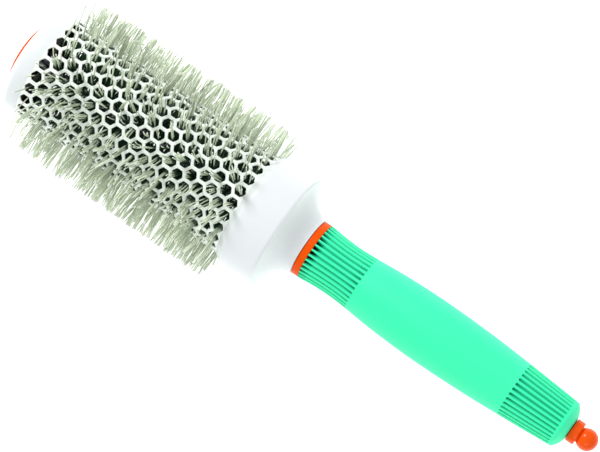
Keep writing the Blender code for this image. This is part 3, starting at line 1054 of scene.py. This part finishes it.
def ribbed_grip(settings):
    grip = settings.grip
    bm = bmesh.new()
    bore = CORE_RADIUS + FIT_GAP
    depth_layer = bm.verts.layers.float.new(DEPTH_LAYER)
    stations = grip_stations(grip)
    rings = [grooved_ring(bm, grip, s, grip_radius(s), depth_layer) for s in stations]
    for vert in rings[0]:
        vert.co.x -= RING_GAP * MM
    count = len(rings[0])
    butt = eased(GRIP_BUTT, False)[1:]
    inside = ((GRIP_FLOOR, PICK_BORE), (GRIP_FLOOR, bore), (GRIP_START - RING_GAP, bore))
    for station, radius in (*butt, *inside):
        angles = (FULL_TURN * i / count for i in range(count))
        rings.append([bm.verts.new(ring_point(station, radius, a)) for a in angles])
    skin_rings(bm, rings, True)
    obj = finish_mesh(bm, "ribbed_grip", [soft_touch_rubber(settings.colours)], 60)
    place(obj, "brush", "teal_rubber", "grip_sleeve")


# Sectioning pick


BALL_RADIUS = 4.55
BALL_STEPS = 40
PICK_NECK_RADIUS = 3.3
PICK_COLLAR_START, PICK_COLLAR_END, PICK_COLLAR_RADIUS = 266.7, 270.3, 4.95
SHANK_START = 261.0
BAND_START, BAND_END, BAND_SEAT = 263.4, 265.2, 2.1  # the groove that the silicone band sits in
BAND_THICKNESS = 0.6
BAND_PROUD = 0.2  # how far the band stands out of the shank
PIN_HOLE_END, PIN_HOLE_RADIUS = 275.0, 1.5
PIN_TIP = 0.5
PIN_TAPER = 12.0


def pick_ball(colours):
    neck = PICK_NECK_RADIUS
    shank = radius_of("pick_seal") - BAND_PROUD
    centre = span("pick_knob")[1] - BALL_RADIUS
    neck_angle = math.degrees(math.acos(neck / BALL_RADIUS))
    ball = arc((centre, 0), (BALL_RADIUS, BALL_RADIUS), 90, -neck_angle, BALL_STEPS)
    ball[0] = (centre + BALL_RADIUS, 0)
    outline = [
        *ball,
        (PICK_COLLAR_END + 0.15, neck, 0.2),
        (PICK_COLLAR_END, neck + 0.2, 0.1),
        (PICK_COLLAR_END, PICK_COLLAR_RADIUS, 0.6),
        (PICK_COLLAR_START, PICK_COLLAR_RADIUS, 0.25),
        (PICK_COLLAR_START, shank, 0.1),
        (BAND_END, shank, 0.1),
        (BAND_END, BAND_SEAT),
        (BAND_START, BAND_SEAT),
        (BAND_START, shank, 0.1),
        (SHANK_START, shank, 0.2),
        (SHANK_START, PIN_HOLE_RADIUS),
        (PIN_HOLE_END, PIN_HOLE_RADIUS),
        (PIN_HOLE_END, 0),
    ]
    material = moulded_abs("orange_abs_ball", colours.orange, 0.16, 0.18)
    place(turned("pick_ball", outline, material, 96), "pick", "orange_plastic", "pick_knob")


def pick_pin(colours):
    start, end = span("pick_needle")
    radius = radius_of("pick_needle")
    tip = arc((start + PIN_TIP, 0), (PIN_TIP, PIN_TIP), -90, 0, 8)
    tip[0] = (start, 0)
    outline = [*tip, (start + PIN_TAPER, radius, 3), (end, radius, 0.1), (end, 0)]
    obj = turned("pick_pin", outline, drawn_steel(colours), 48)
    place(obj, "pick", "steel_wire", "pick_needle")


def pick_band(colours):
    start, end = span("pick_seal")
    radius = radius_of("pick_seal")
    inner = radius - BAND_THICKNESS
    outline = [(start, inner), (start, radius, 0.3), (end, radius, 0.3), (end, inner)]
    obj = turned("pick_band", outline, silicone(colours), 64)
    place(obj, "pick_seal", "silicone", "pick_seal")


# Stage

LENS = 198.0
SENSOR = 36.0
CAMERA_DISTANCE = 1.303
CAMERA_LEAN = math.radians(8.7)
CAMERA_ROLL = math.radians(34.64)
AIM_STATION = 133.3
AIM_SIDE = 4.9
CLIP_END = 50  # far enough to hold the whole floor, m
FLOOR_HALF_SIZE = 20  # m
FLOOR_DROP = 0.5  # below the bristles, mm
FLOOR_GLOW = 0.62
WORLD_LIGHT = 0.58
# The name, place in metres, side in metres and power in watts of each soft light.
SOFTBOXES = (
    ("key_softbox", (-1.0, 0.6, 1.25), 0.6, 18.6),
    ("fill_softbox", (0.6, -0.9, 0.8), 0.8, 3.6),
)


def aim():
    return Vector((ZERO_X + AIM_STATION * MM, AIM_SIDE * MM, 0))


def add_camera():
    """Looks down on the brush from its handle's side, with the brush across the frame."""
    back = Vector((math.sin(CAMERA_LEAN), 0, math.cos(CAMERA_LEAN)))
    along = Vector((math.cos(CAMERA_LEAN), 0, -math.sin(CAMERA_LEAN)))
    across = Vector((0, 1, 0))
    right = along * math.cos(CAMERA_ROLL) + across * math.sin(CAMERA_ROLL)
    up = across * math.cos(CAMERA_ROLL) - along * math.sin(CAMERA_ROLL)
    data = bpy.data.cameras.new("camera")
    data.lens = LENS
    data.sensor_width = SENSOR
    data.clip_end = CLIP_END
    camera = bpy.data.objects.new("camera", data)
    camera.matrix_world = Matrix((right, up, back)).transposed().to_4x4()
    camera.location = aim() + back * CAMERA_DISTANCE
    bpy.context.scene.collection.objects.link(camera)
    bpy.context.scene.camera = camera


def add_softbox(name, position, side, power):
    data = bpy.data.lights.new(name, "AREA")
    data.shape = "SQUARE"
    data.size = side
    data.energy = power
    light = bpy.data.objects.new(name, data)
    light.location = position
    light.rotation_euler = (aim() - Vector(position)).to_track_quat("-Z", "Y").to_euler()
    bpy.context.scene.collection.objects.link(light)


def add_floor(colours):
    """A pale sweep that glows a little, like a lit acrylic table: it keeps shadows faint."""
    bm = bmesh.new()
    bmesh.ops.create_grid(bm, x_segments=1, y_segments=1, size=FLOOR_HALF_SIZE)
    material, shader = new_material("lit_acrylic_floor", colours.floor, Roughness=0.8)
    shader.inputs["Emission Color"].default_value = (1, 1, 1, 1)
    shader.inputs["Emission Strength"].default_value = FLOOR_GLOW
    floor = finish_mesh(bm, "floor", [material])
    floor.location.z = CAD_BOX[0].z - FLOOR_DROP * MM


def add_world():
    world = bpy.data.worlds.new("studio")
    world.use_nodes = True
    background = world.node_tree.nodes["Background"]
    background.inputs["Color"].default_value = (1, 1, 1, 1)
    background.inputs["Strength"].default_value = WORLD_LIGHT
    bpy.context.scene.world = world


def set_stage(colours):
    add_camera()
    add_floor(colours)
    add_world()
    for softbox in SOFTBOXES:
        add_softbox(*softbox)
    bpy.context.scene.view_settings.view_transform = "Standard"


# Operators


class BARRELBRUSH_OT_cap(bpy.types.Operator):
    """Build the rounded end cap and its domed button"""

    bl_idname = "barrel_brush.cap"
    bl_label = "End Cap"

    def execute(self, context):
        colours = context.scene.barrel_brush.colours
        cap_dome(colours)
        cap_shell(colours)
        return {"FINISHED"}


class BARRELBRUSH_OT_barrel(bpy.types.Operator):
    """Build the ceramic-coated tube with its honeycomb of vents"""

    bl_idname = "barrel_brush.barrel"
    bl_label = "Vented Barrel"

    def execute(self, context):
        vented_barrel(context.scene.barrel_brush)
        return {"FINISHED"}


class BARRELBRUSH_OT_bristles(bpy.types.Operator):
    """Grow the nylon filaments from the stem out through the vents"""

    bl_idname = "barrel_brush.bristles"
    bl_label = "Bristles"

    def execute(self, context):
        settings = context.scene.barrel_brush
        rng = random.Random(settings.bristles.seed)
        shades = nylon_shades(settings.colours)
        for number in range(1, settings.barrel.columns // 2 + 1):
            filament_group(settings, shades, number, (2 * number - 1, 2 * number), rng)
        return {"FINISHED"}


class BARRELBRUSH_OT_handle(bpy.types.Operator):
    """Build the collar and neck, the trim ring and the ribbed rubber grip"""

    bl_idname = "barrel_brush.handle"
    bl_label = "Neck and Handle"

    def execute(self, context):
        settings = context.scene.barrel_brush
        collar_and_neck(settings.colours)
        trim_ring(settings.colours)
        ribbed_grip(settings)
        return {"FINISHED"}


class BARRELBRUSH_OT_pick(bpy.types.Operator):
    """Build the sectioning pick: its ball, its pin and the band that holds it"""

    bl_idname = "barrel_brush.pick"
    bl_label = "Sectioning Pick"

    def execute(self, context):
        colours = context.scene.barrel_brush.colours
        pick_ball(colours)
        pick_pin(colours)
        pick_band(colours)
        return {"FINISHED"}


class BARRELBRUSH_OT_inside(bpy.types.Operator):
    """Finish the pieces inside the barrel and the handle"""

    bl_idname = "barrel_brush.inside"
    bl_label = "Inner Parts"

    def execute(self, context):
        colours = context.scene.barrel_brush.colours
        steel = drawn_steel(colours)
        moulding = dark_moulding_and_painted_shade(colours)
        for node in ("stem_wire_a", "stem_wire_b", "stem_push_nut", "stem_ferrule"):
            dress(node, steel)
        for node in ("lower_hub", "handle_core", "pick_guide"):
            dress(node, moulding)
        return {"FINISHED"}


class BARRELBRUSH_OT_stage(bpy.types.Operator):
    """Set up the camera, the pale floor and the soft lights"""

    bl_idname = "barrel_brush.stage"
    bl_label = "Stage"

    def execute(self, context):
        set_stage(context.scene.barrel_brush.colours)
        return {"FINISHED"}


OPERATORS = (
    BARRELBRUSH_OT_cap,
    BARRELBRUSH_OT_barrel,
    BARRELBRUSH_OT_bristles,
    BARRELBRUSH_OT_handle,
    BARRELBRUSH_OT_pick,
    BARRELBRUSH_OT_inside,
    BARRELBRUSH_OT_stage,
)


class BARRELBRUSH_PT_build(bpy.types.Panel):
    """Lists the pieces of the brush and the settings they are built from"""

    bl_label = "Barrel Brush"
    bl_idname = "BARRELBRUSH_PT_build"
    bl_space_type = "VIEW_3D"
    bl_region_type = "UI"
    bl_category = "Brush"

    def draw(self, context):
        settings = context.scene.barrel_brush
        for group in (settings.barrel, settings.bristles, settings.grip, settings.colours):
            box = self.layout.box()
            for name in group.bl_rna.properties.keys():
                if name not in ("rna_type", "name"):
                    box.prop(group, name)
        for operator in OPERATORS:
            self.layout.operator(operator.bl_idname)


CLASSES = (
    BarrelSettings,
    BristleSettings,
    GripSettings,
    ColourSettings,
    BrushSettings,
    *OPERATORS,
    BARRELBRUSH_PT_build,
)


def register():
    for cls in CLASSES:
        bpy.utils.register_class(cls)
    bpy.types.Scene.barrel_brush = bpy.props.PointerProperty(type=BrushSettings)


def unregister():
    del bpy.types.Scene.barrel_brush
    for cls in reversed(CLASSES):
        bpy.utils.unregister_class(cls)


def main():
    register()
    bpy.ops.barrel_brush.stage()
    bpy.ops.barrel_brush.cap()
    bpy.ops.barrel_brush.barrel()
    bpy.ops.barrel_brush.bristles()
    bpy.ops.barrel_brush.handle()
    bpy.ops.barrel_brush.pick()
    bpy.ops.barrel_brush.inside()


if __name__ == "__main__":
    main()
